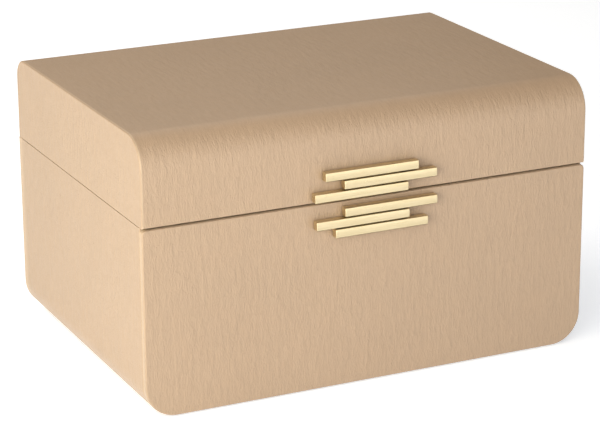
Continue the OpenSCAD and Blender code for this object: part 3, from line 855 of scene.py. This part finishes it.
def screws(node, bodyName, axis, countersunk, material):
    # every screw of a node, each turned its own way; axis points from the shank to the head
    draw = random.Random(screw["seed"] + len(node))
    axis = Vector(axis)
    turn = axis.to_track_quat("Z", "Y").to_matrix().to_4x4()
    boxes = solids(node)
    low, high = boxes[0]
    length = abs((high - low).dot(axis))
    headRadius = min((high - low)[i] for i in range(3) if abs(axis[i]) < 0.5) / 2
    shankRadius = headRadius / (screw["sunkHead"] if countersunk else screw["raisedHead"])
    headHeight = screw["headHeight"] * shankRadius
    blank = cutScrew(headRadius, headHeight, shankRadius, length, countersunk)
    work = bmesh.new()
    for low, high in boxes:
        middle = (low + high) / 2
        head = middle + axis * length / 2
        spin = Matrix.Rotation(draw.uniform(0, math.pi), 4, "Z")
        before = len(work.verts)
        work.from_mesh(blank)
        work.verts.ensure_lookup_table()
        bmesh.ops.transform(work, matrix=Matrix.Translation(head) @ turn @ spin, verts=work.verts[before:])
    mesh = bpy.data.meshes.new(pieceName(node))
    work.to_mesh(mesh)
    work.free()
    settle(linked(pieceName(node), mesh), bodyName, [node], material)


screws("lid_pull_screws", "lid", (0, 1, 0), False, zincSteel)
screws("drawer_pull_screws", "drawer", (0, 1, 0), False, zincSteel)
screws("case_hinge_screws", "case", (0, 0, 1), True, hingeBrass)
screws("lid_hinge_screws", "lid", (0, 0, -1), True, hingeBrass)
print("screws made")


# boards, linings and small wooden parts

linedEase = dict(suede=0.6 * mm, felt=0.3 * mm, runner=0.3 * mm, mirror=0.5 * mm)


def dress(nodes, material):
    # a plain board keeps its own shape and gets its finish
    for node in nodes:
        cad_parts[node].data.materials.clear()
        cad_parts[node].data.materials.append(material)


def lined(bodyName, nodes, slotName, material, segments=2):
    for node in nodes:
        piece = easedCopy(pieceName(node), node, linedEase[slotName], segments)
        settle(piece, bodyName, [node], material)


dress(["case_side_left", "case_side_right", "case_bottom", "case_back", "case_shelf", "lid_top", "lid_front",
       "lid_back", "lid_side_left", "lid_side_right", "drawer_face_board", "drawer_bottom"], fibreboard)
dress(["mirror_backing"], greyBoard)
for bodyName, nodes in (
        ("case", ["bay_liner", "tray_ledges"]),
        ("lid", ["lid_liner", "mirror_frame"]),
        ("drawer", ["drawer_front", "drawer_side_left", "drawer_side_right", "drawer_back",
                    "drawer_divider_long", "drawer_dividers_short"]),
        ("tray", ["tray_walls", "tray_bottom", "tray_dividers"])):
    lined(bodyName, nodes, "suede", suedeLining, 3)
lined("case", ["base_felt"], "felt", baseFelt)
lined("case", ["drawer_runners", "drawer_stop"], "runner", waxedBeech)
lined("lid", ["mirror_glass"], "mirror", silveredGlass)
print("boards and linings made")


# ring rolls

roll = dict(
    slimmer=0.94,  # the cover before it is filled, against the finished roll
    endRound=3.2 * mm,  # rounding of the stuffed ends
    voxel=2.2 * mm,
    pressure=4.0,
    swell=0.5 * mm,  # furthest that the cover may move as it fills
    frames=20,
    lump=0.12 * mm,  # unevenness of the stuffing
    lumpsPerMetre=60,
    shorter=0.3 * mm,  # at each end, the cover before it is filled
    endFlat=0.35,  # of the radius, the flat middle of each end
    seam=0.16,  # of the radius, the strip along the bottom that is sewn down
    stitchDepth=1.2 * mm, stitchRadius=0.5,  # what is held at each end, the second as part of the radius
    fillShare=0.8,
    around=28,
    along=34,
    seed=11,
)


def rollCover(name, low, high, draw):
    # a slim tube with rounded ends, lying along X, lumpy as hand stuffing leaves it
    middle = (low + high) / 2
    radius = (high.z - low.z) / 2 * roll["slimmer"]
    half = (high.x - low.x) / 2 - roll["shorter"]
    end, phase = roll["endRound"], draw.uniform(0, 50)
    stations = [(-half + end * (1 - math.cos(a)), radius - end * (1 - math.sin(a)))
                for a in [math.radians(d) for d in (0, 20, 45, 70, 90)]]
    flat = half - end
    inner = [(-flat + 2 * flat * i / roll["along"], radius) for i in range(1, roll["along"])]
    stations.insert(0, (-half, roll["endFlat"] * radius))
    stations += inner + [(-x, r) for x, r in reversed(stations)]
    loops = []
    for x, r in stations:
        loop = []
        for i in range(roll["around"]):
            angle = 2 * math.pi * i / roll["around"]
            point = Vector((x, math.cos(angle), math.sin(angle)))
            lump = noise.noise(Vector((x * roll["lumpsPerMetre"] + phase, point.y, point.z))) * roll["lump"]
            loop.append((middle.x + x, middle.y + (r + lump) * point.y, middle.z + (r + lump) * point.z))
        loops.append(loop)
    return newPiece(name, *loft(loops))


def fill(piece, settings, held):
    # remeshed, blown up by cloth pressure and applied, no point moving further than the swell;
    # held(point) tells what stays put
    remesh = piece.modifiers.new("remesh", "REMESH")
    remesh.mode, remesh.voxel_size = "VOXEL", settings["voxel"]
    mesh = bpy.data.meshes.new_from_object(evaluated(piece))
    piece.modifiers.clear()
    piece.data = mesh
    before = [vert.co.copy() for vert in mesh.vertices]
    pinned = piece.vertex_groups.new(name="held")
    pinned.add([i for i, co in enumerate(before) if held(co)], 1.0, "REPLACE")
    cloth = piece.modifiers.new("cloth", "CLOTH")
    cloth.settings.use_pressure = True
    cloth.settings.uniform_pressure_force = settings["pressure"]
    cloth.settings.effector_weights.gravity = 0
    cloth.settings.vertex_group_mass = "held"
    scene = bpy.context.scene
    for step in range(1, settings["frames"] + 1):
        scene.frame_set(step)
    swollen = evaluated(piece).data
    moved = [vert.co - start for vert, start in zip(swollen.vertices, before)]
    piece.modifiers.clear()
    piece.vertex_groups.clear()
    for vert, start, move in zip(mesh.vertices, before, moved):
        far = move.length
        vert.co = start + (move * min(1.0, settings["swell"] / far) if far > 0 else move)
    scene.frame_set(1)


def ringRolls():
    draw = random.Random(roll["seed"])
    for number, (low, high) in enumerate(solids("tray_ring_rolls"), 1):
        piece = rollCover("ringRoll" + str(number), low, high, draw)
        middle, radius = (low + high) / 2, (high.z - low.z) / 2

        def held(point):
            # the seam along the bottom and the stitched middle of each end
            seam = point.z < low.z + roll["seam"] * radius
            end = abs(point.x - middle.x) > (high.x - low.x) / 2 - roll["stitchDepth"]
            return seam or (end and (point.yz - middle.yz).length < roll["stitchRadius"] * radius)

        fill(piece, roll, held)
        for face in piece.data.polygons:
            face.use_smooth = True
        smoothed(piece)
        settle(piece, "tray", ["tray_ring_rolls"], velvetPad)


ringRolls()
print("ring rolls made")


# flat pads

pad = dict(
    corner=2.0 * mm,  # rounding of a pad's corners from above
    edge=0.9 * mm,  # how far the sides turn in at top and bottom
    pullIn=0.5 * mm,  # how far the sides draw in between the corners
    rings=9,  # steps of the crown, from the edge to the middle
    sides=((2.2, 0), (0.5, 0.02), (0.1, 0.18), (0, 0.38), (0.25, 0.58)),  # (in, up), of edge and thickness
    crownStart=0.72,  # of the thickness
    crownReach=0.86,  # of the half width, how far in the last ring lies
    lump=0.10 * mm,
    lumpsPerMetre=45,
    fillShare=0.5,
)


def padOutline(low, high, inset, straight=14, turn=4):
    # a rectangle with rounded corners whose sides draw in a little, as (x, y)
    radius = max(0.2 * mm, pad["corner"] - 0.5 * inset)
    corners = ((high.x, high.y, 0), (low.x, high.y, 90), (low.x, low.y, 180), (high.x, low.y, 270))
    centre, points, arcs = (low + high) / 2, [], []
    for x, y, start in corners:
        sx, sy = math.copysign(1, x - centre.x), math.copysign(1, y - centre.y)
        away = radius + inset
        arcs.append(arc(x - sx * away, y - sy * away, radius, start, start + 90, turn))
    for i in range(4):
        points += arcs[i]
        a, b = Vector(arcs[i][-1]), Vector(arcs[(i + 1) % 4][0])
        inward = (Vector(centre[:2]) - (a + b) / 2).normalized()
        for step in range(1, straight):
            t = step / straight
            points.append(tuple(a.lerp(b, t) + inward * pad["pullIn"] * math.sin(math.pi * t)))
    return points


def softPad(name, low, high, bodyName, node):
    # a thin stuffed pad: flat below, rounded at its edges, crowned above
    thick, edge = high.z - low.z, pad["edge"]
    crownStart = pad["crownStart"] * thick
    loops = []
    for inset, z in pad["sides"]:
        loops.append([(x, y, low.z + z * thick) for x, y in padOutline(low, high, inset * edge)])
    widest = min(high.x - low.x, high.y - low.y) / 2
    for ring in range(1, pad["rings"] + 1):
        share = ring / pad["rings"]
        inset = edge + (pad["crownReach"] * widest - edge) * share ** 1.6
        rise = crownStart + (thick - crownStart) * math.sin(math.pi / 2 * min(1.0, 1.5 * share))
        loop = []
        for x, y in padOutline(low, high, inset):
            spot = Vector((x * pad["lumpsPerMetre"], y * pad["lumpsPerMetre"], len(name)))
            lump = noise.noise(spot) * pad["lump"]
            loop.append((x, y, low.z + min(rise + lump, thick)))
        loops.append(loop)
    piece = newPiece(name, *loft(loops))
    smoothed(piece)
    settle(piece, bodyName, [node], velvetPad)


for node, bodyName in (("bay_floor_pad", "case"), ("drawer_pad", "drawer"), ("tray_pads", "tray")):
    for number, (low, high) in enumerate(solids(node), 1):
        softPad(pieceName(node) + str(number), low, high, bodyName, node)
print("pads made")


# lifting ribbons

ribbon = dict(
    thick=0.25 * mm,
    loop=1.9 * mm,  # radius of the loop at the top
    lean=3.0 * mm,  # how far the loop leans in over the tray
    bend=6,  # the higher, the nearer the top the layers part
    topGap=0.2 * mm,
    cup=0.12 * mm,  # how far the middle bows out across the width
    steps=40, loopSteps=12, across=8,
)


def ribbonPath(height, gap):
    # one folded ribbon from the side: up the front layer, round the loop, down the back, as (in, up)
    radius, lean, steps = ribbon["loop"], ribbon["lean"], ribbon["steps"]
    top = height - radius - ribbon["topGap"]
    path = []
    for i in range(steps + 1):
        t = i / steps
        opened = t ** ribbon["bend"]
        path.append((gap * (1 - opened) + (lean + radius) * opened, top * t))
    path += [(lean + radius * math.cos(a), top + radius * math.sin(a))
             for a in [math.pi * i / ribbon["loopSteps"] for i in range(1, ribbon["loopSteps"])]]
    for i in range(steps + 1):
        t = 1 - i / steps
        opened = t ** ribbon["bend"]
        path.append(((lean - radius) * opened, top * t))
    return path


def liftingRibbon(name, low, high, inward):
    height, gap = high.z - low.z, (high.y - low.y) - ribbon["thick"]
    wall = low.y if inward > 0 else high.y
    path = [Vector(p) for p in ribbonPath(height, gap)]
    half = ribbon["thick"] / 2
    loops, across = [], ribbon["across"]
    for i, point in enumerate(path):
        before, after = path[max(0, i - 1)], path[min(len(path) - 1, i + 1)]
        side = Vector((-(after - before).y, (after - before).x)).normalized() * half
        loop = []
        for layer in (1, -1):
            for j in range(across + 1):
                t = j / across if layer > 0 else 1 - j / across
                cup = ribbon["cup"] * math.sin(math.pi * t)
                spot = point + side * layer
                x = low.x + (high.x - low.x) * t
                loop.append((x, wall + inward * (spot.x + half + cup), low.z + spot.y))
        loops.append(loop)
    piece = newPiece(name, *loft(loops))
    settle(piece, "tray", ["tray_ribbons"], satinRibbon)


for name, (low, high), inward in zip(("ribbonFront", "ribbonBack"), solids("tray_ribbons"), (1, -1)):
    liftingRibbon(name, low, high, inward)
print("ribbons made")


# camera, light and floor

camera = dict(
    target=Vector((3.7, 2.5, 76.2)) * mm,
    azimuth=-25.39, elevation=18.25, roll=-0.30,
    distance=1563 * mm,
    lens=144.2, sensor=36,
    clip=(0.05, 50),
)
# sizes and distances in metres, power in watts, angles in degrees with azimuth 0 in front
lights = dict(
    aimHeight=0.08,
    floorSize=12, paper=(0.93, 0.93, 0.93),
    world=0.126, worldColor=(1, 0.83, 0.60),
    floorGlow=0.46, floorColor=(0.77, 0.88, 1),
    key=dict(power=5.3, size=0.9, azimuth=-72, elevation=16, distance=1.25, color=(1, 0.83, 0.45)),
    corner=dict(power=15.3, size=0.9, azimuth=-50, elevation=8, distance=1.25, color=(1, 1, 0.97)),
    high=dict(power=6.0, size=1.2, azimuth=-10, elevation=50, distance=1.6, color=(0.98, 0.95, 1)),
    front=dict(power=8.5, size=1.2, azimuth=20, elevation=12, distance=1.6, color=(1, 0.96, 0.93)),
    back=dict(power=8.3, size=1.6, azimuth=170, elevation=45, distance=1.8, color=(1, 0.92, 0.83)),
    leftBack=dict(power=17.3, size=1.6, azimuth=-120, elevation=50, distance=1.8, color=(1, 0.95, 0.90)),
)


def awayFrom(azimuth, elevation):
    a, e = math.radians(azimuth), math.radians(elevation)
    return Vector((math.sin(a) * math.cos(e), -math.cos(a) * math.cos(e), math.sin(e)))


def makeCamera():
    data = bpy.data.cameras.new("studioCamera")
    data.lens, data.sensor_width = camera["lens"], camera["sensor"]
    data.clip_start, data.clip_end = camera["clip"]
    holder = linked("studioCamera", data)
    back = awayFrom(camera["azimuth"], camera["elevation"])
    holder.location = camera["target"] + back * camera["distance"]
    holder.rotation_mode = "QUATERNION"
    turn = Matrix.Rotation(math.radians(camera["roll"]), 3, "Z").to_quaternion()
    holder.rotation_quaternion = (-back).to_track_quat("-Z", "Y") @ turn
    bpy.context.scene.camera = holder


def makeLight(name, place):
    data = bpy.data.lights.new(name, "AREA")
    data.shape, data.size, data.energy = "SQUARE", place["size"], place["power"]
    data.color = place["color"]
    holder = linked(name, data)
    aim = Vector((0, 0, lights["aimHeight"]))
    holder.location = aim + awayFrom(place["azimuth"], place["elevation"]) * place["distance"]
    holder.rotation_mode = "QUATERNION"
    holder.rotation_quaternion = (aim - holder.location).to_track_quat("-Z", "Y")


def makeFloor():
    size = lights["floorSize"]
    floor = newPiece("studioFloor", [(-size, -size, 0), (size, -size, 0), (size, size, 0), (-size, size, 0)],
                     [(0, 1, 2, 3)])
    paper = Finish("floorPaper", lights["paper"], 0.9)
    paper.set(SpecularIORLevel=0.1, EmissionColor=(*lights["floorColor"], 1),
              EmissionStrength=lights["floorGlow"])
    floor.data.materials.append(paper.material)


def makeWorld():
    world = bpy.data.worlds.new("studioWorld")
    bpy.context.scene.world = world
    world.use_nodes = True
    background = world.node_tree.nodes["Background"]
    background.inputs["Color"].default_value = (*lights["worldColor"], 1)
    background.inputs["Strength"].default_value = lights["world"]


makeCamera()
for name in ("key", "corner", "high", "front", "back", "leftBack"):
    makeLight(name + "Light", lights[name])
makeFloor()
makeWorld()
bpy.context.scene.view_settings.view_transform = "Standard"
bpy.context.scene.view_settings.look = "None"
print("camera, light and floor made")
